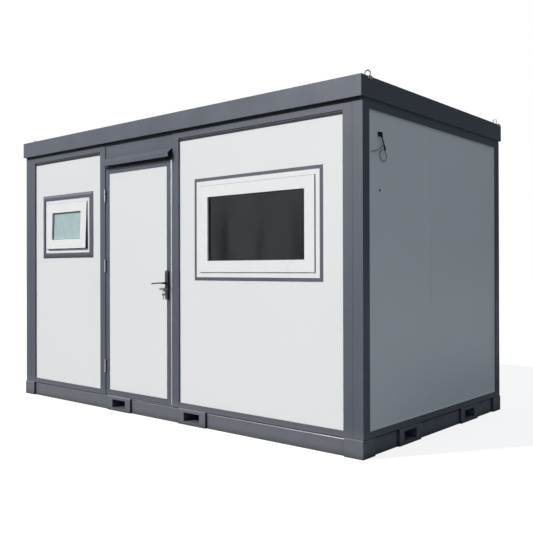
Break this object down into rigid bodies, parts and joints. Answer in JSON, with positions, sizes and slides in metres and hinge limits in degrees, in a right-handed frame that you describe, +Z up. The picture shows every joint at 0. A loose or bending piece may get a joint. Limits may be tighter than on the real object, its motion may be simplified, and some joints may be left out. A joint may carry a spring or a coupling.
{
  "type": "portable site cabin",
  "caption": "Portable steel-framed site cabin with insulated wall panels, an outward door, two windows, a floor with fork pockets and lifting hoops on its roof frame.",
  "frame": {"origin": "centre of the base's underside, level with the ground", "axes": "+X along the long side, to the right as seen from the door side; -Y out of the door wall; +Z up"},
  "size_m": [4.018, 2.275, 2.5539],
  "materials": {
    "frame_paint": "satin dark grey paint",
    "panel_skin": "smooth coated white steel skin",
    "window_plastic": "white window plastic",
    "clear_glass": "dark clear glass",
    "frosted_glass": "frosted glass",
    "rubber_seal": "black rubber",
    "floor_board": "plain board",
    "floor_vinyl": "matt vinyl",
    "galvanised": "galvanised steel",
    "hinge_steel": "brushed steel",
    "edge_aluminium": "bare extruded aluminium",
    "lock_black": "satin black",
    "key_steel": "plated key",
    "cable_black": "black cable sheath",
    "cable_core": "thin core sheath",
    "plug_brown": "brown plastic"
  },
  "bodies": {
    "cabin": {"base_rails": "frame_paint", "fork_pockets": "frame_paint", "base_corner_blocks": "frame_paint", "floor_joists": "galvanised", "floor_board": "floor_board", "floor_covering": "floor_vinyl", "corner_posts": "frame_paint", "front_wall_left": "panel_skin", "front_wall_right": "panel_skin", "back_wall": "panel_skin", "end_walls": "panel_skin", "front_trims": "frame_paint", "back_trim": "frame_paint", "end_trims": "frame_paint", "roof_beams": "frame_paint", "roof_gap_seal": "rubber_seal", "ceiling_panel": "panel_skin", "roof_purlins": "galvanised", "roof_sheet": "galvanised", "lifting_hoops": "galvanised", "door_frame": "frame_paint", "door_sill": "edge_aluminium", "door_header": "frame_paint", "door_hood": "frame_paint", "door_hinges_fixed": "hinge_steel", "small_window_surround": "frame_paint", "small_window_frame": "window_plastic", "small_window_sash": "window_plastic", "small_window_glass": "frosted_glass", "big_window_surround": "frame_paint", "big_window_frame": "window_plastic", "big_window_sash": "window_plastic", "big_window_glass": "clear_glass", "cable_gland": "cable_black", "supply_cable": "cable_black", "cable_core_free": "cable_core", "cable_core_loop": "cable_core", "wall_plug": "plug_brown"},
    "door": {"door_leaf_frame": "frame_paint", "door_leaf_panel": "panel_skin", "door_edge_strip": "edge_aluminium", "door_hinges_moving": "hinge_steel", "door_lock_plates": "lock_black", "door_keys": "key_steel"},
    "lever": {"door_levers": "lock_black"}
  },
  "joints": [
    {"name": "door_swing", "type": "hinge", "parent": "cabin", "child": "door", "pos_m": [-0.7034, -1.1035, 1.1], "axis": [0, 0, -1], "range_deg": [0, 165]},
    {"name": "lever_turn", "type": "hinge", "parent": "door", "child": "lever", "pos_m": [0.112, -1.096, 1.126], "axis": [0, -1, 0], "range_deg": [0, 40], "stiffness_Nm_per_rad": 1.5, "springref_deg": -34.38}
  ]
}
